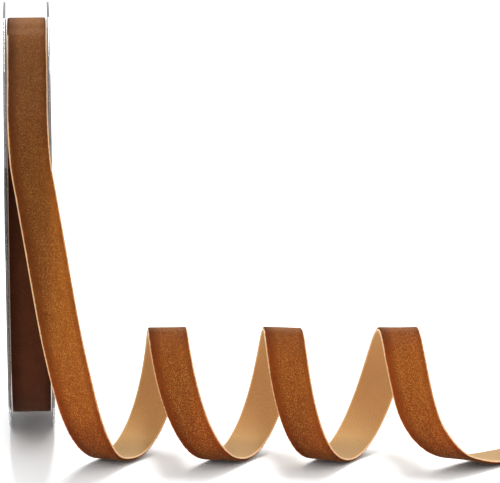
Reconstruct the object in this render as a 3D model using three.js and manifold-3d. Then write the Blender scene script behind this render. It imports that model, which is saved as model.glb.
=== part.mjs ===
// A narrow ribbon spool standing on its rims, with the last half metre of velvet ribbon pulled off it.
// Millimetres, +Z up. X is the spool's axis, and the origin is under it, midway between the two rims.
import * as THREE from "three";
import { mergeVertices } from "three/addons/utils/BufferGeometryUtils.js";
import Module from "manifold-3d";

const wasm = await Module();
wasm.setup();

// Ribbon
const RIBBON_WIDTH = 10;
const RIBBON_THICKNESS = 0.9; // backing and pile together
const WOUND_RADIUS = 51.8; // outside of the winding
const WOUND_CORE_RADIUS = 37.3; // inside of its first turn
const WOUND_EDGE_ROUND = 0.3;

// Spool: two moulded halves that snap together
const FLANGE_RADIUS = 56;
const FLANGE_THICKNESS = 0.6;
const FLANGE_GAP = 10.6; // between the flanges' inner faces
const RIM_CHAMFER = 0.15;
const BORE_RADIUS = 8;
const COLLAR_RADIUS = 10.75;
const COLLAR_HEIGHT = 0.6;
const WALL = 0.7; // drum and bore sleeves
const SLEEVE_CLEARANCE = 0.3; // from a sleeve to its neighbour, and to the other half's flange
const DRUM_RADIUS = 36.6;
const RIB_COUNT = 6;
const RIB_THICKNESS = 0.7;
const RIB_HEIGHT = 1.6;
const POST_COUNT = 3;
const POST_CIRCLE_RADIUS = 22;
const POST_RADIUS = 1.5;
const SOCKET_WALL = 0.8;
const SOCKET_LENGTH = 6;

// Tape that holds the ribbon's inner end on the drum
const TAPE_WIDTH = 9;
const TAPE_LENGTH = 18;
const TAPE_THICKNESS = 0.1;

// The three standing loops of the free ribbon: a helix whose turns lean, along a line that runs a little
// towards the viewer from the spool's axis
const LOOP_LINE_TURN = THREE.MathUtils.degToRad(4.5);
const LOOP_LINE_OFFSET = 39.4; // how far in front of the spool the line starts
const LOOP_FIRST_TOP = 37.5; // along the line
const LOOP_PITCH = 29.1;
const LOOP_FOOT_HEIGHT = 0.75; // of the ribbon's middle, so that its lower edge just touches the floor
const LOOP_HALF_HEIGHT = 16.45;
const LOOP_HALF_DEPTH = 14.3;
const LOOP_LEAN = -3.6;
const LOOP_DRIFT = [2.1, 1.4, -1.1, 0]; // how far each turn's foot is shifted along the line
const LOOP_STEPS_PER_TURN = 16;
const LOOP_TURNS = 2.75; // from the first foot to the front of the last loop
// How much the ribbon rolls back towards level as it comes up to the last loop's top, and over what angle
const LAST_TOP_ROLL = 0.07;
const LAST_TOP_SPREAD = 0.5;

// The stretch from the winding to the first loop's foot: points on the ribbon's middle, and the way that its
// right-hand edge lies from there
const FALL = [
  { at: [0.1, -24.7, 102.4], side: [1, 0, 0] },
  { at: [0.1, -35.6, 95.9], side: [1, 0, 0] },
  { at: [0.05, -45.8, 88.1], side: [1, 0, 0] },
  { at: [0.55, -53.2, 78.8], side: [1, -0.02, 0.03] },
  { at: [1.8, -56.7, 71], side: [1, -0.02, 0.1] },
  { at: [3.7, -59.1, 59.6], side: [1, 0.02, 0.15] },
  { at: [5.5, -60.3, 48.2], side: [1, 0.02, 0.15] },
  { at: [7.4, -60.1, 36.8], side: [1, 0, 0.17] },
  { at: [9.8, -58.9, 24.9], side: [0.98, -0.08, 0.21] },
  { at: [12.1, -56.3, 15.3], side: [0.92, -0.3, 0.24] },
  { at: [14.7, -52, 7.9], side: [0.84, -0.5, 0.2] },
  { at: [18, -46.6, 2.5], side: [0.8, -0.6, 0.08] },
];

// The stretch from the last loop down to the floor and along it, described in the same way
const TAIL = [
  { at: [97.2, -62.1, 11.7], side: [0.75, -0.52, 0.4] },
  { at: [100.7, -60.8, 7.2], side: [0.65, -0.67, 0.34] },
  { at: [104.7, -58.6, 4], side: [0.6, -0.77, 0.2] },
  { at: [109.2, -55.4, 2.2], side: [0.6, -0.79, 0.08] },
  { at: [114, -51.9, 1.1], side: [0.6, -0.8, 0] },
  { at: [119.5, -47.7, 0.7], side: [0.6, -0.8, 0] },
  { at: [125.1, -43.5, 0.5], side: [0.6, -0.8, 0] },
  { at: [130.5, -39.4, 0.45], side: [0.6, -0.8, 0] },
];

const LATHE_SEGMENTS = 96;
const SMALL_SEGMENTS = 24;
const MERGE_DISTANCE = 1e-4;

const clearPlastic = new THREE.MeshStandardMaterial({
  color: 0xdfe3e4,
  roughness: 0.08,
  metalness: 0,
  transparent: true,
  opacity: 0.35,
});
const velvet = new THREE.MeshStandardMaterial({ color: 0x8f5420, roughness: 0.95, metalness: 0 });
const tapeFilm = new THREE.MeshStandardMaterial({
  color: 0xf0ead8,
  roughness: 0.25,
  metalness: 0,
  transparent: true,
  opacity: 0.6,
});

// ---- Solids ----

function toSolid(geometry) {
  const bare = geometry.clone();
  bare.deleteAttribute("normal");
  bare.deleteAttribute("uv");
  const merged = mergeVertices(bare, MERGE_DISTANCE);
  return new wasm.Manifold(
    new wasm.Mesh({
      numProp: 3,
      vertProperties: merged.attributes.position.array,
      triVerts: new Uint32Array(merged.index.array),
    }),
  );
}

function toGeometry(solid) {
  const mesh = solid.getMesh();
  const geometry = new THREE.BufferGeometry();
  geometry.setAttribute("position", new THREE.BufferAttribute(mesh.vertProperties, 3));
  geometry.setIndex(new THREE.BufferAttribute(mesh.triVerts, 1));
  geometry.computeVertexNormals();
  return geometry;
}

function joined(geometries) {
  return toGeometry(geometries.map(toSolid).reduce((whole, piece) => whole.add(piece)));
}

// A ring turned about X from an outline of [radius, place along X] points that closes on itself. Its flats, not
// its corners, are at the stated radii, and one flat lies level at the bottom.
function turned(outline) {
  const stretch = 1 / Math.cos(Math.PI / LATHE_SEGMENTS);
  const points = [...outline, outline[0]].map(([radius, x]) => new THREE.Vector2(radius * stretch, x));
  const geometry = new THREE.LatheGeometry(points, LATHE_SEGMENTS);
  geometry.rotateY(Math.PI / LATHE_SEGMENTS);
  geometry.rotateZ(-Math.PI / 2);
  return geometry;
}

// A round bar, or a tube if it has a bore, along X from one place to another
function bar(radius, bore, from, to) {
  const section = new THREE.Shape().absarc(0, 0, radius, 0, 2 * Math.PI);
  if (bore > 0) section.holes.push(new THREE.Path().absarc(0, 0, bore, 0, 2 * Math.PI));
  const geometry = new THREE.ExtrudeGeometry(section, {
    depth: to - from,
    bevelEnabled: false,
    curveSegments: SMALL_SEGMENTS / 2,
  });
  geometry.rotateY(Math.PI / 2);
  geometry.translate(from, 0, 0);
  return geometry;
}

// ---- Spool halves ----

const INNER_FACE = FLANGE_GAP / 2;
const OUTER_FACE = INNER_FACE + FLANGE_THICKNESS;
const COLLAR_FACE = OUTER_FACE + COLLAR_HEIGHT;

// One half as it faces +X, its flange behind at -X: the flange, its collar, and the drum and bore sleeves, which
// end short of the other half by a clearance
function halfBody(drumRadius, sleeveBore, endClearance) {
  const sleeveEnd = INNER_FACE - endClearance;
  const sleeveRadius = sleeveBore + WALL;
  const drumBore = drumRadius - WALL;
  const outline = [
    [BORE_RADIUS, -COLLAR_FACE],
    [COLLAR_RADIUS, -COLLAR_FACE],
    [COLLAR_RADIUS, -OUTER_FACE],
    [FLANGE_RADIUS - RIM_CHAMFER, -OUTER_FACE],
    [FLANGE_RADIUS, -OUTER_FACE + RIM_CHAMFER],
    [FLANGE_RADIUS, -INNER_FACE - RIM_CHAMFER],
    [FLANGE_RADIUS - RIM_CHAMFER, -INNER_FACE],
    [drumRadius, -INNER_FACE],
    [drumRadius, sleeveEnd],
    [drumBore, sleeveEnd],
    [drumBore, -INNER_FACE],
    [sleeveRadius, -INNER_FACE],
    [sleeveRadius, sleeveEnd],
    [sleeveBore, sleeveEnd],
  ];
  if (sleeveBore > BORE_RADIUS) outline.push([sleeveBore, -INNER_FACE], [BORE_RADIUS, -INNER_FACE]);
  return turned(outline);
}

// Ribs on a flange's inner face, from its bore sleeve to its drum sleeve. They reach a little into both, and
// into the flange, so that the half is one moulding.
function ribs(drumRadius, sleeveBore, firstAngle) {
  const root = WALL / 2;
  const inner = sleeveBore + root;
  const outer = drumRadius - root;
  const sunk = FLANGE_THICKNESS / 2;
  return Array.from({ length: RIB_COUNT }, (_, i) => {
    const rib = new THREE.BoxGeometry(RIB_HEIGHT + sunk, outer - inner, RIB_THICKNESS);
    rib.translate(-INNER_FACE + (RIB_HEIGHT - sunk) / 2, (inner + outer) / 2, 0);
    return rib.rotateX(firstAngle + (2 * Math.PI * i) / RIB_COUNT);
  });
}

// Copies of a bar or tube standing on a flange's inner face, in a circle
function standing(radius, bore, length) {
  const root = -INNER_FACE - FLANGE_THICKNESS / 2;
  return Array.from({ length: POST_COUNT }, (_, i) => {
    const post = bar(radius, bore, root, -INNER_FACE + length);
    post.translate(0, POST_CIRCLE_RADIUS, 0);
    return post.rotateX((2 * Math.PI * i) / POST_COUNT);
  });
}

// The left half has the outer drum sleeve, the bore sleeve and the posts.
function leftHalf() {
  const postLength = FLANGE_GAP - SLEEVE_CLEARANCE;
  return joined([
    halfBody(DRUM_RADIUS, BORE_RADIUS, SLEEVE_CLEARANCE),
    ...ribs(DRUM_RADIUS, BORE_RADIUS, 0),
    ...standing(POST_RADIUS, 0, postLength),
  ]);
}

// The right half slides inside the drum sleeve and over the bore sleeve, down to the left half's ribs, and its
// sockets take the posts. It is made facing +X and turned round, which brings the sockets onto the posts.
function rightHalf() {
  const drumRadius = DRUM_RADIUS - WALL - SLEEVE_CLEARANCE;
  const sleeveBore = BORE_RADIUS + WALL + SLEEVE_CLEARANCE;
  const socketBore = POST_RADIUS + SLEEVE_CLEARANCE;
  const half = joined([
    halfBody(drumRadius, sleeveBore, RIB_HEIGHT + SLEEVE_CLEARANCE),
    ...ribs(drumRadius, sleeveBore, Math.PI / RIB_COUNT),
    ...standing(socketBore + SOCKET_WALL, socketBore, SOCKET_LENGTH),
  ]);
  return half.rotateY(Math.PI);
}

// ---- Ribbon ----

function winding() {
  const edge = RIBBON_WIDTH / 2;
  return turned([
    [WOUND_CORE_RADIUS, -edge],
    [WOUND_RADIUS - WOUND_EDGE_ROUND, -edge],
    [WOUND_RADIUS, -edge + WOUND_EDGE_ROUND],
    [WOUND_RADIUS, edge - WOUND_EDGE_ROUND],
    [WOUND_RADIUS - WOUND_EDGE_ROUND, edge],
    [WOUND_CORE_RADIUS, edge],
  ]);
}

// A flat strip bent through stations, each a middle point and the way that its right-hand edge lies. The strip
// starts as a box as long as the route has steps, and its cross-sections are carried to their stations.
function strip(stations, width, thickness) {
  const steps = stations.length - 1;
  const box = new THREE.BoxGeometry(steps, width, thickness, steps, 1, 1);
  const places = box.attributes.position;
  const middles = stations.map((station) => new THREE.Vector3(...station.at));
  for (let i = 0; i < places.count; i++) {
    const k = Math.round(places.getX(i) + steps / 2);
    const before = middles[Math.max(k - 1, 0)];
    const after = middles[Math.min(k + 1, steps)];
    const along = after.clone().sub(before).normalize();
    const side = new THREE.Vector3(...stations[k].side);
    side.addScaledVector(along, -side.dot(along)).normalize();
    const out = new THREE.Vector3().crossVectors(along, side);
    const place = middles[k].clone();
    place.addScaledVector(side, places.getY(i)).addScaledVector(out, places.getZ(i));
    places.setXYZ(i, place.x, place.y, place.z);
  }
  box.computeVertexNormals();
  return box;
}

function tape() {
  const radius = (DRUM_RADIUS + WOUND_CORE_RADIUS) / 2;
  const steps = 8;
  const stations = Array.from({ length: steps + 1 }, (_, k) => {
    const angle = (TAPE_LENGTH / radius) * (k / steps - 0.5);
    return { at: [0, radius * Math.sin(angle), radius * Math.cos(angle)], side: [1, 0, 0] };
  });
  return strip(stations, TAPE_WIDTH, TAPE_THICKNESS);
}

// A point of the loops at an angle from the first loop's top, and the way the ribbon's right-hand edge lies
// there, which is square to the helix and to the way that it curves
function loopStation(angle) {
  const turn = Math.floor(angle / (2 * Math.PI)) + 1;
  const drift = LOOP_DRIFT[turn] / 2;
  const along =
    LOOP_FIRST_TOP + (LOOP_PITCH * angle) / (2 * Math.PI) + LOOP_LEAN * Math.sin(angle) + drift * (1 - Math.cos(angle));
  const front = LOOP_LINE_OFFSET + LOOP_HALF_DEPTH * Math.sin(angle);
  const height = LOOP_FOOT_HEIGHT + LOOP_HALF_HEIGHT * (1 + Math.cos(angle));
  const speed = new THREE.Vector3(
    LOOP_PITCH / (2 * Math.PI) + LOOP_LEAN * Math.cos(angle) + drift * Math.sin(angle),
    -LOOP_HALF_DEPTH * Math.cos(angle),
    -LOOP_HALF_HEIGHT * Math.sin(angle),
  );
  const curving = new THREE.Vector3(
    -LOOP_LEAN * Math.sin(angle) + drift * Math.cos(angle),
    LOOP_HALF_DEPTH * Math.sin(angle),
    -LOOP_HALF_HEIGHT * Math.cos(angle),
  );
  const up = new THREE.Vector3(0, 0, 1);
  const beforeLastTop = (angle - 4 * Math.PI) / LAST_TOP_SPREAD + 0.6;
  const roll = new THREE.Vector3(0, 0, LAST_TOP_ROLL * Math.exp(-(beforeLastTop ** 2)));
  const side = speed.cross(curving).normalize().add(roll).normalize().applyAxisAngle(up, -LOOP_LINE_TURN);
  const at = new THREE.Vector3(along, -front, height).applyAxisAngle(up, -LOOP_LINE_TURN);
  return { at: at.toArray(), side: side.toArray() };
}

function freeRibbonStations() {
  const steps = LOOP_TURNS * LOOP_STEPS_PER_TURN;
  const loops = Array.from({ length: steps + 1 }, (_, k) =>
    loopStation(-Math.PI + (2 * Math.PI * k) / LOOP_STEPS_PER_TURN),
  );
  return [...FALL, ...loops, ...TAIL];
}

// ---- Assembly ----

function addMesh(group, name, geometry, material) {
  const mesh = new THREE.Mesh(geometry, material);
  mesh.name = name;
  group.add(mesh);
}

const part = new THREE.Group();
const spool = new THREE.Group();
spool.position.z = FLANGE_RADIUS;
part.add(spool);
addMesh(spool, "spool_half_left", leftHalf(), clearPlastic);
addMesh(spool, "spool_half_right", rightHalf(), clearPlastic);
addMesh(spool, "wound_ribbon", winding(), velvet);
addMesh(spool, "core_tape", tape(), tapeFilm);
addMesh(part, "free_ribbon", strip(freeRibbonStations(), RIBBON_WIDTH, RIBBON_THICKNESS), velvet);

export default part;
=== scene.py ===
import math
import random

import bmesh
import bpy
from mathutils import Matrix, Vector, noise


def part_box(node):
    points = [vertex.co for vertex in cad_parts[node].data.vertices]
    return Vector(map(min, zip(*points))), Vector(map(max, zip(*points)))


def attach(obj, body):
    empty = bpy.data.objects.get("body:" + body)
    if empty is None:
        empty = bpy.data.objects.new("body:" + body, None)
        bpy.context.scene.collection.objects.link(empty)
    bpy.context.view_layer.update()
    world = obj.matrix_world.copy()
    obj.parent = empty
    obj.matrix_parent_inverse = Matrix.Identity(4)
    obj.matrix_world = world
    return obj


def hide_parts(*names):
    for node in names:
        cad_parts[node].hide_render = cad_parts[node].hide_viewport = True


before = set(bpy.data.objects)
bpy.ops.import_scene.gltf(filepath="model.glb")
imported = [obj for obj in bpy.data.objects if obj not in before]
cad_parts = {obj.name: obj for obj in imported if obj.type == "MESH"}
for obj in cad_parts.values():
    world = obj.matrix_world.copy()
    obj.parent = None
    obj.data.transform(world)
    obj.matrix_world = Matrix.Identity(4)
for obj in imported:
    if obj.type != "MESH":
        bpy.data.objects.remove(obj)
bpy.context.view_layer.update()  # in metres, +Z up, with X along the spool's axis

bl_info = {
    "name": "Ribbon spool",
    "version": (1, 0, 0),
    "blender": (4, 5, 0),
    "location": "3D View > Sidebar > Ribbon Spool",
    "description": "A clear two-part spool of velvet ribbon with its free end standing in loops",
    "category": "Add Mesh",
}

MM = 0.001
MERGE_DISTANCE = 1e-7

# ---- Sizes read from the frame ----

HALF_LOW, HALF_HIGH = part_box("spool_half_left")
WOUND_LOW, WOUND_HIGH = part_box("wound_ribbon")
TAPE_LOW, TAPE_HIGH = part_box("core_tape")
FLANGE_RADIUS = (HALF_HIGH.z - HALF_LOW.z) / 2
AXIS_HEIGHT = (HALF_HIGH.z + HALF_LOW.z) / 2
COLLAR_FACE = -HALF_LOW.x
WOUND_RADIUS = (WOUND_HIGH.z - WOUND_LOW.z) / 2
RIBBON_WIDTH = WOUND_HIGH.x - WOUND_LOW.x

# ---- Sizes of the mouldings, as the solids have them ----

FLANGE_THICKNESS = 0.6 * MM
COLLAR_HEIGHT = 0.6 * MM
OUTER_FACE = COLLAR_FACE - COLLAR_HEIGHT
INNER_FACE = OUTER_FACE - FLANGE_THICKNESS
BORE_RADIUS = 8 * MM
COLLAR_RADIUS = 10.75 * MM
WALL = 0.7 * MM
SLEEVE_CLEARANCE = 0.3 * MM
DRUM_RADIUS = 36.6 * MM
RIB_COUNT = 6
RIB_THICKNESS = 0.7 * MM
RIB_HEIGHT = 1.6 * MM
POST_COUNT = 3
POST_CIRCLE_RADIUS = 22 * MM
POST_RADIUS = 1.5 * MM
SOCKET_WALL = 0.8 * MM
SOCKET_LENGTH = 6 * MM
POST_SIDES = 48
TAPE_THICKNESS = 0.05 * MM
TAPE_STEPS_ACROSS, TAPE_STEPS_ROUND = 6, 24
EDGE_ROUND = 0.12 * MM
SPIN_STEPS = 180

# Edges that bend more than this stay sharp, in degrees
SPOOL_SHARP_ANGLE = 35
RIBBON_SHARP_ANGLE = 50
TAPE_SHARP_ANGLE = 40

# ---- The ribbon ----

RIBBON_THICKNESS = 0.9 * MM
WOUND_CORE_RADIUS = 37.3 * MM

# The loops: a helix whose turns lean, along a line that runs a little forward from the spool's axis
LOOP_LINE_TURN = math.radians(4.5)
LOOP_LINE_OFFSET = 39.4
LOOP_FIRST_TOP = 37.5
LOOP_PITCH = 29.1
LOOP_FOOT_HEIGHT = 0.75
LOOP_HALF_HEIGHT = 16.45
LOOP_HALF_DEPTH = 14.3
LOOP_LEAN = -3.6
LOOP_DRIFT = [2.1, 1.4, -1.1, 0]
LOOP_STEPS_PER_TURN = 16
LOOP_TURNS = 2.75
# How much the ribbon rolls back towards level as it comes up to the last loop's top, over what angle, and by how
# many of those angles before it
LAST_TOP_ROLL = 0.07
LAST_TOP_SPREAD = 0.5
LAST_TOP_LEAD = 0.6

# Points on the ribbon's middle in millimetres, and the way that its right-hand edge lies from there. LIFT is
# where it comes up out of the winding, FALL is the stretch down to the first foot, and TAIL is the stretch after
# the last loop.
LIFT = [
    ((0.1, 14.1, 105), (1, 0, 0)),
    ((0.1, 8.9, 106.67), (1, 0, 0)),
    ((0.1, 2, 107.4), (1, 0, 0)),
    ((0.1, -6, 107.12), (1, 0, 0)),
    ((0.1, -12, 106.1), (1, 0, 0)),
    ((0.1, -18.4, 104.85), (1, 0, 0)),
]
FALL = [
    ((0.1, -24.7, 102.4), (1, 0, 0)),
    ((0.1, -35.6, 95.9), (1, 0, 0)),
    ((0.05, -45.8, 88.1), (1, 0, 0)),
    ((0.55, -53.2, 78.8), (1, -0.02, 0.03)),
    ((1.8, -56.7, 71), (1, -0.02, 0.1)),
    ((3.7, -59.1, 59.6), (1, 0.02, 0.15)),
    ((5.5, -60.3, 48.2), (1, 0.02, 0.15)),
    ((7.4, -60.1, 36.8), (1, 0, 0.17)),
    ((9.8, -58.9, 24.9), (0.98, -0.08, 0.21)),
    ((12.1, -56.3, 15.3), (0.92, -0.3, 0.24)),
    ((14.7, -52, 7.9), (0.84, -0.5, 0.2)),
    ((18, -46.6, 2.5), (0.8, -0.6, 0.08)),
]
TAIL = [
    ((97.2, -62.1, 11.7), (0.75, -0.52, 0.4)),
    ((100.7, -60.8, 7.2), (0.65, -0.67, 0.34)),
    ((104.7, -58.6, 4), (0.6, -0.77, 0.2)),
    ((109.2, -55.4, 2.2), (0.6, -0.79, 0.08)),
    ((114, -51.9, 1.1), (0.6, -0.8, 0)),
    ((119.5, -47.7, 0.7), (0.6, -0.8, 0)),
    ((125.1, -43.5, 0.5), (0.6, -0.8, 0)),
    ((130.5, -39.4, 0.45), (0.6, -0.8, 0)),
]

# The ribbon's section as fractions: of half its width across, and of its thickness up from the middle. The pile
# stops short of both edges and leaves the selvedges bare.
HALF_SECTION = [
    (0.0, -0.5, "back"),
    (0.5, -0.5, "back"),
    (0.93, -0.5, "selvedge"),
    (0.985, -0.44, "selvedge"),
    (1.0, -0.3, "selvedge"),
    (0.988, -0.17, "selvedge"),
    (0.96, -0.12, "selvedge"),
    (0.92, -0.12, "pile"),
    (0.93, 0.12, "pile"),
    (0.93, 0.32, "pile"),
    (0.91, 0.45, "pile"),
    (0.84, 0.5, "pile"),
    (0.4, 0.5, "pile"),
    (0.0, 0.5, "pile"),
]
PILE_EDGE = range(7, 11)  # the points that stand in a ragged line
PILE_RAGGED = 0.018  # of half the width
LIFT_EXTRA_WIDTH = 0.012  # of the width, where the free end starts inside the winding
TUFT_ALTERNATION = 0.6  # how much every other tuft stands in and out, against the random part
RAGGED_SEED = 3

# The same on the winding, where the pile is pressed out to the edges and its sides show the ground weave
WOUND_HALF_SECTION = [
    (0.0, -0.5, "back"),
    (0.5, -0.5, "back"),
    (0.93, -0.5, "selvedge"),
    (0.985, -0.44, "selvedge"),
    (1.0, -0.3, "selvedge"),
    (0.988, -0.17, "selvedge"),
    (0.975, 0.0, "selvedge"),
    (0.985, 0.12, "selvedge"),
    (0.985, 0.32, "pile"),
    (0.965, 0.45, "pile"),
    (0.89, 0.5, "pile"),
    (0.4, 0.5, "pile"),
    (0.0, 0.5, "pile"),
]

RIBBON_RING_SPACING = 0.3 * MM
WINDING_STEPS_PER_TURN = 144
WINDING_PITCH = 0.9 * MM
WINDING_WANDER = 0.16 * MM
WANDER_RATE = 0.8  # of its noise, for each radian wound
WANDER_ROW = (3.7, 0.2)  # the line through the noise that it follows


# ---- Settings ----


def colour_property(name, description, default):
    return bpy.props.FloatVectorProperty(
        name=name, description=description, default=default, size=3, min=0, max=1, subtype="COLOR"
    )


def length_property(name, description, default):
    return bpy.props.FloatProperty(name=name, description=description, default=default, min=0, unit="LENGTH")


class RibbonSettings(bpy.types.PropertyGroup):
    """Sizes and colours of the velvet ribbon"""

    width: length_property("Width", "Width of the ribbon", RIBBON_WIDTH)
    thickness: length_property("Thickness", "Backing and pile together", RIBBON_THICKNESS)
    pile_dark: colour_property("Pile, deep", "Colour between the pile's tufts", (0.046, 0.0132, 0.0036))
    pile_light: colour_property("Pile, tips", "Colour of the pile's lit tips", (0.112, 0.0325, 0.0062))
    # Colour of the painted glints on the free pile's tips
    pile_glint: colour_property("Pile, gold", "Colour of the tips that shine", (0.46, 0.23, 0.07))
    wound_dark: colour_property("Wound pile, deep", "The same on the winding", (0.03, 0.008, 0.0035))
    wound_light: colour_property("Wound pile, tips", "The same on the winding", (0.075, 0.022, 0.009))
    # Colour of the painted glints on the winding's pile
    wound_glint: colour_property("Wound pile, gold", "The same on the winding", (0.11, 0.04, 0.016))
    back_dark: colour_property("Back, deep", "Colour between the back's threads", (0.29, 0.165, 0.06))
    back_light: colour_property("Back, threads", "Colour of the back's threads", (0.53, 0.34, 0.132))
    selvedge: colour_property("Selvedge", "Colour of the bare woven edges", (0.88, 0.55, 0.28))
    wound_selvedge: colour_property("Wound selvedge", "The same on the winding", (0.6, 0.32, 0.12))


class SpoolSettings(bpy.types.PropertyGroup):
    """Sizes and colours of the spool"""

    plastic: colour_property("Plastic", "Tint of the clear plastic", (0.84, 0.84, 0.85))
    tape: colour_property("Tape", "Tint of the adhesive tape", (0.85, 0.78, 0.6))
    edge_round: length_property("Edge round", "How far the moulded edges are rounded", EDGE_ROUND)


class StageSettings(bpy.types.PropertyGroup):
    """The floor, lights and camera"""

    floor: colour_property("Floor", "Colour of the floor", (0.97, 0.97, 0.97))
    horizon: bpy.props.FloatProperty(name="Horizon", description="Brightness near the horizon", default=0.7, min=0)
    ceiling: bpy.props.FloatProperty(name="Ceiling", description="Brightness from above", default=1.1, min=0)
    overhead: bpy.props.FloatProperty(
        name="Overhead", description="Power of the light above and behind", default=10, min=0, unit="POWER"
    )
    front: bpy.props.FloatProperty(
        name="Front", description="Power of the light at the front left", default=1.2, min=0, unit="POWER"
    )
    lens: bpy.props.FloatProperty(name="Lens", description="Focal length in millimetres", default=201.24, min=1)
    turn: bpy.props.FloatProperty(
        name="Turn", description="How far the camera looks to the right", default=math.radians(4.478), subtype="ANGLE"
    )
    tilt: bpy.props.FloatProperty(
        name="Tilt", description="How far the camera looks down", default=math.radians(10.723), subtype="ANGLE"
    )
    place: bpy.props.FloatVectorProperty(
        name="Place", description="Where the camera stands", default=(0.00141, -0.728, 0.18624), subtype="TRANSLATION"
    )


# ---- Mesh helpers ----


def finished(name, bm, materials, smooth_angle=None):
    """An object of that name from a bmesh, smooth but for edges sharper than the angle."""
    mesh = bpy.data.meshes.new(name)
    bm.to_mesh(mesh)
    bm.free()
    piece = bpy.data.objects.new(name, mesh)
    bpy.context.scene.collection.objects.link(piece)
    for material in materials:
        mesh.materials.append(material)
    mesh.shade_smooth()
    if smooth_angle is not None:
        mesh.set_sharp_from_angle(angle=smooth_angle)
    return piece


class Station:
    """A place on a ribbon: its middle, the way of its right-hand edge, the way its pile faces, and how far along."""

    def __init__(self, middle, side, out, along, share=1.0, wander=0.0):
        self.middle = middle
        self.side = side
        self.out = out
        self.along = along
        self.share = share
        self.wander = wander

    def carry(self, across, up):
        return self.middle + self.side * (across * self.share + self.wander) + self.out * up


def full_section(half):
    """The section all round, from the middle of the back to the right, over the pile and down the left."""
    right = [(across, up, kind, i) for i, (across, up, kind) in enumerate(half[:-1])]
    left = [(-half[i][0], half[i][1], half[i - 1][2], i) for i in range(len(half) - 1, 0, -1)]
    return right + left


def woven_strip(bm, stations, settings, half_section, ragged_seed=None):
    """Adds a ribbon through the stations: a grid whose one way is wrapped round the section and merged, and whose
    other way is carried to the stations."""
    section = full_section(half_section)
    rings, round_count = len(stations), len(section)
    made = bmesh.ops.create_grid(bm, x_segments=rings - 1, y_segments=round_count, size=0.5)
    ragged = ragged_seed is not None
    if ragged:
        draws = random.Random(ragged_seed)
        jitter = [(draws.uniform(-1, 1), draws.uniform(-1, 1)) for _ in range(rings)]
    uv = bm.loops.layers.uv.verify()
    half_width, thickness = settings.width / 2, settings.thickness
    place = {}
    for vert in made["verts"]:
        ring = round((vert.co.x + 0.5) * (rings - 1))
        point = round((vert.co.y + 0.5) * round_count)
        place[vert] = (ring, point)
    faces = {face for vert in made["verts"] for face in vert.link_faces}
    kinds = {"pile": 0, "back": 1, "selvedge": 2}
    for face in faces:
        face.material_index = kinds[section[min(place[vert][1] for vert in face.verts)][2]]
        for loop in face.loops:
            ring, at = place[loop.vert]
            loop[uv].uv = (section[at % round_count][0] * half_width / MM, stations[ring].along / MM)
    for vert, (ring, point) in place.items():
        across, up, kind, index = section[point % round_count]
        if ragged and index in PILE_EDGE:
            stray = jitter[ring][across > 0] + (-1) ** ring * TUFT_ALTERNATION
            across += math.copysign(PILE_RAGGED * stray, across)
        vert.co = stations[ring].carry(across * half_width, up * thickness)
    bmesh.ops.remove_doubles(bm, verts=bm.verts, dist=MERGE_DISTANCE)


def close_ends(bm):
    bmesh.ops.holes_fill(bm, edges=[edge for edge in bm.edges if edge.is_boundary], sides=0)
    bmesh.ops.recalc_face_normals(bm, faces=bm.faces)


def turned(bm, outline, edge_round):
    """Adds a ring turned about X through the spool's centre, from an outline of (radius, place along X)."""
    corners = [bm.verts.new((x, 0, AXIS_HEIGHT + radius)) for radius, x in outline]
    for a, b in zip(corners, corners[1:] + corners[:1]):
        bm.edges.new((a, b))
    if edge_round > 0:
        bmesh.ops.bevel(
            bm, geom=corners, offset=edge_round, segments=2, profile=0.5, material=-1, affect="VERTICES"
        )
    bmesh.ops.spin(
        bm,
        geom=list(bm.edges) + list(bm.verts),
        cent=(0, 0, AXIS_HEIGHT),
        axis=(1, 0, 0),
        angle=2 * math.pi,
        steps=SPIN_STEPS,
        use_merge=True,
    )
    bmesh.ops.remove_doubles(bm, verts=bm.verts, dist=MERGE_DISTANCE)
    bmesh.ops.recalc_face_normals(bm, faces=bm.faces)


def joined(name, body, additions):
    """The body with the additions joined on as one solid."""
    join = body.modifiers.new("join", "BOOLEAN")
    join.operation = "UNION"
    join.solver = "EXACT"
    join.use_self = True
    join.object = additions
    evaluated = body.evaluated_get(bpy.context.evaluated_depsgraph_get())
    mesh = bpy.data.meshes.new_from_object(evaluated)
    piece = bpy.data.objects.new(name, mesh)
    bpy.context.scene.collection.objects.link(piece)
    bpy.data.objects.remove(body)
    bpy.data.objects.remove(additions)
    mesh.name = name
    mesh.shade_smooth()
    mesh.set_sharp_from_angle(angle=math.radians(SPOOL_SHARP_ANGLE))
    return piece


# ---- Route of the free ribbon ----


def loop_station(angle):
    """A point of the loops in millimetres at an angle from the first loop's top, and the way of its right edge."""
    turn = math.floor(angle / (2 * math.pi)) + 1
    drift = LOOP_DRIFT[turn] / 2
    sine, cosine = math.sin(angle), math.cos(angle)
    forward = LOOP_FIRST_TOP + LOOP_PITCH * angle / (2 * math.pi) + LOOP_LEAN * sine + drift * (1 - cosine)
    front = LOOP_LINE_OFFSET + LOOP_HALF_DEPTH * sine
    height = LOOP_FOOT_HEIGHT + LOOP_HALF_HEIGHT * (1 + cosine)
    speed = Vector(
        (
            LOOP_PITCH / (2 * math.pi) + LOOP_LEAN * cosine + drift * sine,
            -LOOP_HALF_DEPTH * cosine,
            -LOOP_HALF_HEIGHT * sine,
        )
    )
    curving = Vector((-LOOP_LEAN * sine + drift * cosine, LOOP_HALF_DEPTH * sine, -LOOP_HALF_HEIGHT * cosine))
    before_last_top = (angle - 4 * math.pi) / LAST_TOP_SPREAD + LAST_TOP_LEAD
    roll = Vector((0, 0, LAST_TOP_ROLL * math.exp(-(before_last_top**2))))
    side = (speed.cross(curving).normalized() + roll).normalized()
    turned_line = Matrix.Rotation(-LOOP_LINE_TURN, 3, "Z")
    return turned_line @ Vector((forward, -front, height)), turned_line @ side


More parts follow.
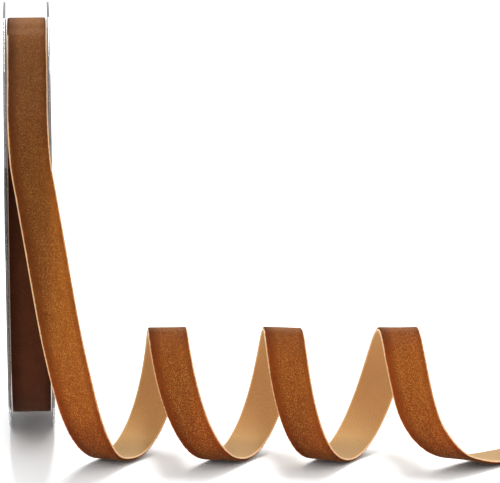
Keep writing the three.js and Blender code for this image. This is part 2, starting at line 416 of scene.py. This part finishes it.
def route_points():
    steps = round(LOOP_TURNS * LOOP_STEPS_PER_TURN)
    loops = [loop_station(-math.pi + 2 * math.pi * k / LOOP_STEPS_PER_TURN) for k in range(steps + 1)]
    lift, fall, tail = ([(Vector(at), Vector(side)) for at, side in part] for part in (LIFT, FALL, TAIL))
    return [*lift, *fall, *loops, *tail]


def between(a, b, c, d, t):
    """Catmull-Rom: a point between b and c, with a before and d after."""
    return 0.5 * (2 * b + (c - a) * t + (2 * a - 5 * b + 4 * c - d) * t * t + (3 * b - a - 3 * c + d) * t**3)


def smooth_route(points, spacing):
    """Stations in metres on a smooth curve through the points, about a spacing apart."""
    ends = [(2 * points[0][0] - points[1][0], points[0][1])]
    tail = [(2 * points[-1][0] - points[-2][0], points[-1][1])]
    run = ends + list(points) + tail
    middles, sides = [], []
    for before, here, there, after in zip(run, run[1:], run[2:], run[3:]):
        count = max(1, math.ceil((there[0] - here[0]).length * MM / spacing))
        for k in range(count):
            middles.append(between(before[0], here[0], there[0], after[0], k / count) * MM)
            sides.append(between(before[1], here[1], there[1], after[1], k / count))
    middles.append(points[-1][0] * MM)
    sides.append(points[-1][1].copy())
    stations, along = [], 0.0
    for k, (middle, side) in enumerate(zip(middles, sides)):
        if k:
            along += (middle - middles[k - 1]).length
        heading = (middles[min(k + 1, len(middles) - 1)] - middles[max(k - 1, 0)]).normalized()
        side = (side - heading * side.dot(heading)).normalized()
        stations.append(Station(middle, side, heading.cross(side), along))
    return stations


# ---- Materials ----

TUFT_SCALE = 3800
# Size of the painted glints in the pile
GLINT_SCALE = 6600
# How much painted shade darkens the pile at its left and right edges, in millimetres across, and near the floor, in
# metres up
LEFT_SHADE, LEFT_SHADE_SPAN = 0.62, (-1.8, -4.7)
RIGHT_SHADE, RIGHT_SHADE_SPAN = 0.4, (3.2, 4.7)
FOOT_SHADE, FOOT_SHADE_SPAN = 0.65, (0.036, 0.001)
# How much a painted highlight pales the tips where they face upwards, and between what upward parts of their normals
CREST_HIGHLIGHT, CREST_HIGHLIGHT_SPAN = 0.04, (0.965, 0.995)
PILE_SHEEN = 0.13
TWILL_TURN = math.radians(32)
TWILL_SCALE = 0.6
PLASTIC_IOR = 1.52
PLASTIC_DEPTH_COLOUR = (0.14, 0.1, 0.12, 1)
PLASTIC_DEPTH_DENSITY = 12


class Nodes:
    """A material's node tree, with short calls for the nodes that the finishes use."""

    def __init__(self, name):
        self.material = bpy.data.materials.new(name)
        self.material.use_nodes = True
        self.tree = self.material.node_tree
        self.tree.nodes.clear()
        self.surface = self.add("ShaderNodeBsdfPrincipled")
        self.output = self.add("ShaderNodeOutputMaterial")
        self.link(self.surface.outputs[0], self.output.inputs["Surface"])

    def add(self, kind, **values):
        node = self.tree.nodes.new(kind)
        for key, value in values.items():
            setattr(node, key, value)
        return node

    def link(self, source, target):
        self.tree.links.new(source, target)

    def set(self, **values):
        for key, value in values.items():
            self.surface.inputs[key.replace("_", " ")].default_value = value

    def coordinates(self, kind="Object", stretch=(1, 1, 1), turn=0.0):
        source = self.add("ShaderNodeTexCoord")
        mapping = self.add("ShaderNodeMapping")
        mapping.inputs["Scale"].default_value = stretch
        mapping.inputs["Rotation"].default_value = (0, 0, turn)
        self.link(source.outputs[kind], mapping.inputs["Vector"])
        return mapping.outputs["Vector"]

    def noise(self, vector, scale, detail=3.0, roughness=0.6):
        node = self.add("ShaderNodeTexNoise")
        node.inputs["Scale"].default_value = scale
        node.inputs["Detail"].default_value = detail
        node.inputs["Roughness"].default_value = roughness
        self.link(vector, node.inputs["Vector"])
        return node.outputs["Fac"]

    def wave(self, vector, scale, distortion=0.0, detail_scale=1.0, direction="X"):
        node = self.add("ShaderNodeTexWave", bands_direction=direction)
        node.inputs["Scale"].default_value = scale
        node.inputs["Distortion"].default_value = distortion
        node.inputs["Detail Scale"].default_value = detail_scale
        self.link(vector, node.inputs["Vector"])
        return node.outputs["Fac"]

    def span(self, value, low, high, to_low=0.0, to_high=1.0):
        node = self.add("ShaderNodeMapRange")
        for name, number in zip(("From Min", "From Max", "To Min", "To Max"), (low, high, to_low, to_high)):
            node.inputs[name].default_value = number
        self.link(value, node.inputs["Value"])
        return node.outputs["Result"]

    def sums(self, operation, a, b):
        node = self.add("ShaderNodeMath", operation=operation)
        for socket, value in zip(node.inputs, (a, b)):
            if isinstance(value, (int, float)):
                socket.default_value = value
            else:
                self.link(value, socket)
        return node.outputs["Value"]

    def blend(self, factor, a, b):
        node = self.add("ShaderNodeMix", data_type="RGBA")
        self.link(factor, node.inputs["Factor"])
        colours = [socket for socket in node.inputs if socket.type == "RGBA"]
        for socket, value in zip(colours, (a, b)):
            if isinstance(value, bpy.types.NodeSocket):
                self.link(value, socket)
            else:
                socket.default_value = (*value, 1)
        return [socket for socket in node.outputs if socket.type == "RGBA"][0]

    def bump(self, height, distance, strength=1.0):
        node = self.add("ShaderNodeBump")
        node.inputs["Strength"].default_value = strength
        node.inputs["Distance"].default_value = distance
        self.link(height, node.inputs["Height"])
        self.link(node.outputs["Normal"], self.surface.inputs["Normal"])


def velvet_pile(name, deep, body, gold, glow):
    """Cut pile: fine tufts with painted glints on some, and painted shade towards the edges, the left one most.
    With a glow of 1 light comes through it, and it has painted shade near the floor and a painted highlight where it
    faces upwards."""
    nodes = Nodes(name)
    vector = nodes.coordinates()
    flat = nodes.coordinates("UV")
    split = nodes.add("ShaderNodeSeparateXYZ")
    nodes.link(flat, split.inputs[0])
    across = split.outputs["X"]
    tufts = nodes.noise(vector, TUFT_SCALE, detail=2.0, roughness=0.7)
    drifts = nodes.noise(nodes.coordinates("UV", stretch=(0.3, 0.11, 1)), 1.0, detail=3.0, roughness=0.5)
    left = nodes.span(across, *LEFT_SHADE_SPAN, 0.0, LEFT_SHADE)
    right = nodes.span(across, *RIGHT_SHADE_SPAN, 0.0, RIGHT_SHADE)
    shade = nodes.sums("ADD", left, right)
    drift = nodes.span(drifts, 0.3, 0.7, -0.16, 0.16)
    lit = nodes.sums("ADD", nodes.span(tufts, 0.3, 0.7, 0.3, 1.0), drift)
    lit = nodes.sums("SUBTRACT", lit, shade)
    # Painted shade: the free pile is darkened towards the floor
    if glow:
        low = nodes.add("ShaderNodeSeparateXYZ")
        nodes.link(vector, low.inputs[0])
        foot = nodes.span(low.outputs["Z"], *FOOT_SHADE_SPAN, 0.0, FOOT_SHADE)
        lit = nodes.sums("SUBTRACT", lit, foot)
    plain = nodes.blend(nodes.span(lit, 0, 1), deep, body)
    # Painted glints: small spots of the shining colour, fewer where the painted edge shade is deep
    glint_noise = nodes.noise(vector, GLINT_SCALE, detail=1.0, roughness=0.6)
    painted_glints = nodes.sums("MULTIPLY", nodes.span(glint_noise, 0.56, 0.7), nodes.span(shade, 0.0, 0.4, 0.7, 0.1))
    # Painted highlight: the tips are mixed towards a pale colour where their normals point upwards
    faces = nodes.add("ShaderNodeSeparateXYZ")
    nodes.link(nodes.coordinates("Normal"), faces.inputs[0])
    crest_highlight = nodes.span(faces.outputs["Z"], *CREST_HIGHLIGHT_SPAN, 0.0, CREST_HIGHLIGHT * glow)
    pale = tuple(0.25 + 0.75 * c for c in gold)
    nodes.link(
        nodes.blend(crest_highlight, nodes.blend(painted_glints, plain, gold), pale),
        nodes.surface.inputs["Base Color"],
    )
    nodes.bump(tufts, 0.00014, 0.8)
    nodes.set(
        Roughness=0.9,
        Sheen_Weight=PILE_SHEEN,
        Sheen_Roughness=0.14,
        Sheen_Tint=(1.0, 0.7, 0.36, 1),
        Specular_IOR_Level=0.04,
        Subsurface_Weight=0.8 * glow,
        Subsurface_Radius=(1.0, 0.66, 0.46),
        Subsurface_Scale=0.0076,
    )
    return nodes.material


def woven_back(name, dark, light, glow):
    """The back of the ribbon: fine slanting threads, stronger near the floor, with painted shade darkening it near
    the floor.
    """
    nodes = Nodes(name)
    vector = nodes.coordinates("UV", turn=TWILL_TURN)
    threads = nodes.wave(vector, TWILL_SCALE, distortion=0.8, detail_scale=2.0)
    height = nodes.add("ShaderNodeSeparateXYZ")
    nodes.link(nodes.coordinates(), height.inputs[0])
    low = height.outputs["Z"]
    threads = nodes.sums("MULTIPLY", threads, nodes.span(low, 0.004, 0.018, 1.3, 0.3))
    crossing = nodes.noise(nodes.coordinates("UV", stretch=(3.2, 1.4, 1)), 1.0, detail=2.0)
    grain = nodes.span(nodes.sums("ADD", nodes.sums("MULTIPLY", threads, 0.7), crossing), 0.1, 1.2)
    # Painted shade: the back is darkened in the last few millimetres above the floor
    grain = nodes.sums("SUBTRACT", grain, nodes.span(low, 0.004, 0.001, 0.0, 0.8))
    nodes.link(nodes.blend(grain, dark, light), nodes.surface.inputs["Base Color"])
    nodes.bump(grain, 0.00006, 0.7)
    nodes.set(
        Roughness=0.7,
        Sheen_Weight=0.1,
        Sheen_Roughness=0.4,
        Specular_IOR_Level=0.2,
        Subsurface_Weight=0.6 * glow,
        Subsurface_Radius=(1.0, 0.6, 0.3),
        Subsurface_Scale=0.003,
    )
    return nodes.material


def bare_selvedge(name, colour, pile):
    """The woven edge: pale cord, crossed by small stitches of the pile's colour."""
    nodes = Nodes(name)
    stitches = nodes.wave(nodes.coordinates("UV"), 0.6, distortion=0.8, direction="Y")
    deep = tuple(0.55 * a + 0.45 * b for a, b in zip(colour, pile))
    nodes.link(nodes.blend(nodes.span(stitches, 0.1, 0.75), deep, colour), nodes.surface.inputs["Base Color"])
    nodes.bump(stitches, 0.00008, 0.8)
    nodes.set(
        Roughness=0.55,
        Sheen_Weight=0.2,
        Specular_IOR_Level=0.35,
        Subsurface_Weight=0.3,
        Subsurface_Radius=(1.0, 0.7, 0.4),
        Subsurface_Scale=0.0006,
    )
    return nodes.material


def clear_plastic(tint):
    """Clear moulded plastic with a little haze and handling marks."""
    nodes = Nodes("clear_plastic")
    vector = nodes.coordinates()
    haze = nodes.noise(vector, 90, detail=4.0)
    marks = nodes.noise(nodes.coordinates(stretch=(1, 0.15, 1)), 900, detail=3.0)
    nodes.link(nodes.span(haze, 0.3, 0.7, 0.03, 0.12), nodes.surface.inputs["Roughness"])
    nodes.link(
        nodes.blend(haze, tint, tuple(0.97 * c for c in tint)),
        nodes.surface.inputs["Base Color"],
    )
    nodes.bump(marks, 0.00001, 0.35)
    nodes.set(Transmission_Weight=1.0, IOR=PLASTIC_IOR)
    depth = nodes.add("ShaderNodeVolumeAbsorption")
    depth.inputs["Color"].default_value = PLASTIC_DEPTH_COLOUR
    depth.inputs["Density"].default_value = PLASTIC_DEPTH_DENSITY
    nodes.link(depth.outputs["Volume"], nodes.output.inputs["Volume"])
    return nodes.material


def tape_film(tint):
    nodes = Nodes("tape_film")
    crinkle = nodes.noise(nodes.coordinates(stretch=(1, 0.3, 1)), 1200, detail=3.0)
    nodes.link(nodes.blend(crinkle, tuple(0.9 * c for c in tint), tint), nodes.surface.inputs["Base Color"])
    nodes.bump(crinkle, 0.00002, 0.5)
    nodes.set(Roughness=0.25, Transmission_Weight=0.6, IOR=1.47)
    return nodes.material


def floor_paper(colour):
    nodes = Nodes("floor_paper")
    fibre = nodes.noise(nodes.coordinates(), 60, detail=4.0)
    nodes.link(nodes.blend(fibre, tuple(0.995 * c for c in colour), colour), nodes.surface.inputs["Base Color"])
    nodes.set(Roughness=0.85, Specular_IOR_Level=0.15)
    return nodes.material


# ---- Stage ----

FLOOR_HALF_SIZE = 4
FLOOR_DROP = 0.05 * MM
SENSOR_WIDTH = 36
CEILING_STARTS = 0.55  # the upward part of a direction from which the ceiling is at its brightest
# Each light: its place, what it points at, and its width and depth
OVERHEAD = ((0.02, 0.4, 0.95), (0.02, -0.02, 0.03), 0.2, 0.9)
FRONT_FILL = ((-0.7, -0.9, 0.6), (0.03, 0, 0.05), 0.6, 0.6)


# ---- Operators ----


class RIBBONSPOOL_OT_stage(bpy.types.Operator):
    """Add the floor, the lights and the camera"""

    bl_idname = "ribbonspool.stage"
    bl_label = "Stage"

    def execute(self, context):
        settings = context.scene.ribbonspool_stage
        scene = context.scene
        bm = bmesh.new()
        bmesh.ops.create_grid(bm, x_segments=2, y_segments=2, size=FLOOR_HALF_SIZE)
        bmesh.ops.translate(bm, vec=(0, 0, -FLOOR_DROP), verts=bm.verts)
        floor = finished("floor", bm, [floor_paper(tuple(settings.floor))])
        world = bpy.data.worlds.new("surroundings")
        world.use_nodes = True
        self.surround(world.node_tree, settings)
        scene.world = world
        self.light(scene, "overhead_softbox", settings.overhead, *OVERHEAD)
        self.light(scene, "front_fill", settings.front, *FRONT_FILL)
        scene.view_settings.view_transform = "Standard"
        data = bpy.data.cameras.new("camera")
        data.lens = settings.lens
        data.sensor_width = SENSOR_WIDTH
        camera = bpy.data.objects.new("camera", data)
        camera.location = settings.place
        camera.rotation_euler = (math.pi / 2 - settings.tilt, 0, -settings.turn)
        scene.collection.objects.link(camera)
        scene.camera = camera
        return {"FINISHED"}

    @staticmethod
    def surround(tree, settings):
        """A white ceiling that gets dimmer towards the horizon."""
        background = tree.nodes["Background"]
        direction = tree.nodes.new("ShaderNodeTexCoord")
        split = tree.nodes.new("ShaderNodeSeparateXYZ")
        height = tree.nodes.new("ShaderNodeMapRange")
        height.interpolation_type = "SMOOTHSTEP"
        for name, number in (
            ("From Min", 0.0),
            ("From Max", CEILING_STARTS),
            ("To Min", settings.horizon),
            ("To Max", settings.ceiling),
        ):
            height.inputs[name].default_value = number
        tree.links.new(direction.outputs["Generated"], split.inputs[0])
        tree.links.new(split.outputs["Z"], height.inputs["Value"])
        tree.links.new(height.outputs["Result"], background.inputs["Strength"])
        background.inputs["Color"].default_value = (1, 1, 1, 1)

    @staticmethod
    def light(scene, name, power, place, target, width, depth):
        data = bpy.data.lights.new(name, "AREA")
        data.energy = power
        data.shape = "RECTANGLE"
        data.size = width
        data.size_y = depth
        lamp = bpy.data.objects.new(name, data)
        lamp.location = place
        lamp.rotation_euler = (Vector(target) - Vector(place)).to_track_quat("-Z", "Y").to_euler()
        scene.collection.objects.link(lamp)


class RIBBONSPOOL_OT_free_ribbon(bpy.types.Operator):
    """Add the free end of the ribbon"""

    bl_idname = "ribbonspool.free_ribbon"
    bl_label = "Free ribbon"

    def execute(self, context):
        settings = context.scene.ribbonspool_ribbon
        points = route_points()
        stations = smooth_route(points, RIBBON_RING_SPACING)
        lift_end = sum((b[0] - a[0]).length for a, b in zip(points, points[1 : len(LIFT) + 1])) * MM
        for station in stations:
            station.share = 1 + LIFT_EXTRA_WIDTH - LIFT_EXTRA_WIDTH * min(1.0, station.along / lift_end)
        bm = bmesh.new()
        woven_strip(bm, stations, settings, HALF_SECTION, RAGGED_SEED)
        close_ends(bm)
        materials = ribbon_materials(settings, wound=False)
        piece = finished("free_ribbon_velvet", bm, materials, math.radians(RIBBON_SHARP_ANGLE))
        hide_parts("free_ribbon")
        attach(piece, "ribbon_end")
        return {"FINISHED"}


def ribbon_materials(settings, wound):
    """The pile's, the back's and the selvedge's materials, for the free end or for the winding."""
    if wound:
        prefix, deep, body, gold, edge = (
            "wound",
            settings.wound_dark,
            settings.wound_light,
            settings.wound_glint,
            settings.wound_selvedge,
        )
    else:
        prefix, deep, body, gold, edge = (
            "free",
            settings.pile_dark,
            settings.pile_light,
            settings.pile_glint,
            settings.selvedge,
        )
    glow = 0.0 if wound else 1.0
    return [
        velvet_pile(prefix + "_velvet_pile", tuple(deep), tuple(body), tuple(gold), glow),
        woven_back(prefix + "_ribbon_back", tuple(settings.back_dark), tuple(settings.back_light), glow),
        bare_selvedge(prefix + "_selvedge", tuple(edge), tuple(deep)),
    ]


class RIBBONSPOOL_OT_wound_ribbon(bpy.types.Operator):
    """Add the turns of ribbon on the spool"""

    bl_idname = "ribbonspool.wound_ribbon"
    bl_label = "Wound ribbon"

    def execute(self, context):
        settings = context.scene.ribbonspool_ribbon
        half = settings.thickness / 2
        inner, outer = WOUND_CORE_RADIUS + half, WOUND_RADIUS - half
        turns = (outer - WINDING_PITCH - inner) / WINDING_PITCH
        steps = math.floor(turns * WINDING_STEPS_PER_TURN)
        spiral = [
            self.station(2 * math.pi * k / WINDING_STEPS_PER_TURN, inner + WINDING_PITCH * k / WINDING_STEPS_PER_TURN)
            for k in range(steps + 1)
        ]
        self.measure(spiral)
        bm = bmesh.new()
        woven_strip(bm, spiral, settings, WOUND_HALF_SECTION)
        close_ends(bm)
        last = [
            self.station(2 * math.pi * k / WINDING_STEPS_PER_TURN, outer, steady=True)
            for k in range(WINDING_STEPS_PER_TURN + 1)
        ]
        self.measure(last)
        woven_strip(bm, last, settings, WOUND_HALF_SECTION)
        bmesh.ops.recalc_face_normals(bm, faces=bm.faces)
        materials = ribbon_materials(settings, wound=True)
        piece = finished("wound_ribbon_turns", bm, materials, math.radians(RIBBON_SHARP_ANGLE))
        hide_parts("wound_ribbon")
        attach(piece, "spool")
        return {"FINISHED"}

    @staticmethod
    def station(angle, radius, steady=False):
        out = Vector((0, -math.sin(angle), math.cos(angle)))
        middle = Vector((0, 0, AXIS_HEIGHT)) + out * radius
        wander = 0.0 if steady else WINDING_WANDER * noise.noise(Vector((angle * WANDER_RATE, *WANDER_ROW)))
        return Station(middle, Vector((1, 0, 0)), out, 0.0, 1.0, wander)

    @staticmethod
    def measure(stations):
        for before, here in zip(stations, stations[1:]):
            here.along = before.along + (here.middle - before.middle).length


class RIBBONSPOOL_OT_core_tape(bpy.types.Operator):
    """Add the tape that holds the ribbon's inner end"""

    bl_idname = "ribbonspool.core_tape"
    bl_label = "Core tape"

    def execute(self, context):
        settings = context.scene.ribbonspool_spool
        low, high = TAPE_LOW, TAPE_HIGH
        radius = high.z - AXIS_HEIGHT - TAPE_THICKNESS
        reach = math.asin(high.y / radius)
        bm = bmesh.new()
        bmesh.ops.create_grid(bm, x_segments=TAPE_STEPS_ACROSS, y_segments=TAPE_STEPS_ROUND, size=0.5)
        for vert in bm.verts:
            angle = 2 * reach * vert.co.y
            vert.co = (
                vert.co.x * (high.x - low.x),
                radius * math.sin(angle),
                AXIS_HEIGHT + radius * math.cos(angle),
            )
        bmesh.ops.recalc_face_normals(bm, faces=bm.faces)
        bmesh.ops.solidify(bm, geom=list(bm.faces), thickness=TAPE_THICKNESS)
        bmesh.ops.recalc_face_normals(bm, faces=bm.faces)
        piece = finished("core_tape_film", bm, [tape_film(tuple(settings.tape))], math.radians(TAPE_SHARP_ANGLE))
        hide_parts("core_tape")
        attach(piece, "spool")
        return {"FINISHED"}


class RIBBONSPOOL_OT_spool_halves(bpy.types.Operator):
    """Add the two clear halves of the spool"""

    bl_idname = "ribbonspool.spool_halves"
    bl_label = "Spool halves"

    def execute(self, context):
        settings = context.scene.ribbonspool_spool
        material = clear_plastic(tuple(settings.plastic))
        left = self.half(
            "left_half_moulding",
            DRUM_RADIUS,
            BORE_RADIUS,
            SLEEVE_CLEARANCE,
            0.0,
            (POST_RADIUS, 0.0, 2 * INNER_FACE - SLEEVE_CLEARANCE),
            settings.edge_round,
        )
        socket_bore = POST_RADIUS + SLEEVE_CLEARANCE
        right = self.half(
            "right_half_moulding",
            DRUM_RADIUS - WALL - SLEEVE_CLEARANCE,
            BORE_RADIUS + WALL + SLEEVE_CLEARANCE,
            RIB_HEIGHT + SLEEVE_CLEARANCE,
            math.pi / RIB_COUNT,
            (socket_bore + SOCKET_WALL, socket_bore, SOCKET_LENGTH),
            settings.edge_round,
        )
        right.data.transform(Matrix.Rotation(math.pi, 4, "Z"))
        for piece, node in ((left, "spool_half_left"), (right, "spool_half_right")):
            piece.data.materials.clear()
            piece.data.materials.append(material)
            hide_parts(node)
            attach(piece, "spool")
        return {"FINISHED"}

    def half(self, name, drum_radius, sleeve_bore, end_clearance, first_angle, post, edge_round):
        """One half facing +X, with its flange behind at -X."""
        sleeve_end = INNER_FACE - end_clearance
        outline = [
            (BORE_RADIUS, -COLLAR_FACE),
            (COLLAR_RADIUS, -COLLAR_FACE),
            (COLLAR_RADIUS, -OUTER_FACE),
            (FLANGE_RADIUS, -OUTER_FACE),
            (FLANGE_RADIUS, -INNER_FACE),
            (drum_radius, -INNER_FACE),
            (drum_radius, sleeve_end),
            (drum_radius - WALL, sleeve_end),
            (drum_radius - WALL, -INNER_FACE),
            (sleeve_bore + WALL, -INNER_FACE),
            (sleeve_bore + WALL, sleeve_end),
            (sleeve_bore, sleeve_end),
        ]
        if sleeve_bore > BORE_RADIUS:
            outline += [(sleeve_bore, -INNER_FACE), (BORE_RADIUS, -INNER_FACE)]
        bm = bmesh.new()
        turned(bm, outline, edge_round)
        body = finished(name + "_body", bm, [])
        bm = bmesh.new()
        root = WALL / 2
        inner, outer = sleeve_bore + root, drum_radius - root
        sunk = FLANGE_THICKNESS / 2
        for k in range(RIB_COUNT):
            made = bmesh.ops.create_cube(bm, size=1)["verts"]
            bmesh.ops.scale(bm, vec=(RIB_HEIGHT + sunk, outer - inner, RIB_THICKNESS), verts=made)
            place = (-INNER_FACE + (RIB_HEIGHT - sunk) / 2, (inner + outer) / 2, 0)
            bmesh.ops.translate(bm, vec=place, verts=made)
            self.swing(bm, made, first_angle + 2 * math.pi * k / RIB_COUNT)
        radius, bore, length = post
        for k in range(POST_COUNT):
            self.swing(bm, self.post(bm, radius, bore, length + sunk), 2 * math.pi * k / POST_COUNT)
        bmesh.ops.recalc_face_normals(bm, faces=bm.faces)
        return joined(name, body, finished(name + "_additions", bm, []))

    @staticmethod
    def post(bm, radius, bore, length):
        """A bar, or a socket if it has a bore, standing on the flange at the posts' circle."""
        before = set(bm.verts)
        circle = bmesh.ops.create_circle(bm, cap_ends=not bore, segments=POST_SIDES, radius=radius)["verts"]
        along_axis = Matrix.Rotation(math.pi / 2, 3, "Y")
        bmesh.ops.rotate(bm, cent=(0, 0, 0), matrix=along_axis, verts=circle)
        if bore:
            hole = bmesh.ops.create_circle(bm, cap_ends=False, segments=POST_SIDES, radius=bore)["verts"]
            bmesh.ops.rotate(bm, cent=(0, 0, 0), matrix=along_axis, verts=hole)
            rims = [e for e in bm.edges if e.verts[0] not in before and e.verts[1] not in before]
            bmesh.ops.bridge_loops(bm, edges=rims)
        faces = [f for f in bm.faces if all(v not in before for v in f.verts)]
        made = bmesh.ops.extrude_face_region(bm, geom=faces, use_keep_orig=True)["geom"]
        risen = [g for g in made if isinstance(g, bmesh.types.BMVert)]
        bmesh.ops.translate(bm, vec=(length, 0, 0), verts=risen)
        verts = [v for v in bm.verts if v not in before]
        bmesh.ops.translate(bm, vec=(-INNER_FACE - FLANGE_THICKNESS / 2, POST_CIRCLE_RADIUS, 0), verts=verts)
        return verts

    @staticmethod
    def swing(bm, verts, angle):
        """Turns them about the axis, and lifts them from the origin to the spool's centre."""
        bmesh.ops.rotate(bm, cent=(0, 0, 0), matrix=Matrix.Rotation(angle, 3, "X"), verts=verts)
        bmesh.ops.translate(bm, vec=(0, 0, AXIS_HEIGHT), verts=verts)


class RIBBONSPOOL_PT_sidebar(bpy.types.Panel):
    """The pieces of the ribbon spool, and its settings"""

    bl_label = "Ribbon Spool"
    bl_idname = "RIBBONSPOOL_PT_sidebar"
    bl_space_type = "VIEW_3D"
    bl_region_type = "UI"
    bl_category = "Ribbon Spool"

    def draw(self, context):
        layout = self.layout
        for operator in OPERATORS:
            layout.operator(operator.bl_idname)
        for group in (
            context.scene.ribbonspool_ribbon,
            context.scene.ribbonspool_spool,
            context.scene.ribbonspool_stage,
        ):
            box = layout.box()
            for name in group.__annotations__:
                box.prop(group, name)


SETTINGS = {
    "ribbonspool_ribbon": RibbonSettings,
    "ribbonspool_spool": SpoolSettings,
    "ribbonspool_stage": StageSettings,
}
OPERATORS = (
    RIBBONSPOOL_OT_stage,
    RIBBONSPOOL_OT_free_ribbon,
    RIBBONSPOOL_OT_wound_ribbon,
    RIBBONSPOOL_OT_core_tape,
    RIBBONSPOOL_OT_spool_halves,
)
CLASSES = (*SETTINGS.values(), *OPERATORS, RIBBONSPOOL_PT_sidebar)


def register():
    for cls in CLASSES:
        bpy.utils.register_class(cls)
    for name, cls in SETTINGS.items():
        setattr(bpy.types.Scene, name, bpy.props.PointerProperty(type=cls))


def unregister():
    for name in SETTINGS:
        delattr(bpy.types.Scene, name)
    for cls in reversed(CLASSES):
        bpy.utils.unregister_class(cls)


def main():
    register()
    bpy.ops.ribbonspool.stage()
    bpy.ops.ribbonspool.free_ribbon()
    bpy.ops.ribbonspool.wound_ribbon()
    bpy.ops.ribbonspool.core_tape()
    bpy.ops.ribbonspool.spool_halves()


if __name__ == "__main__":
    main()
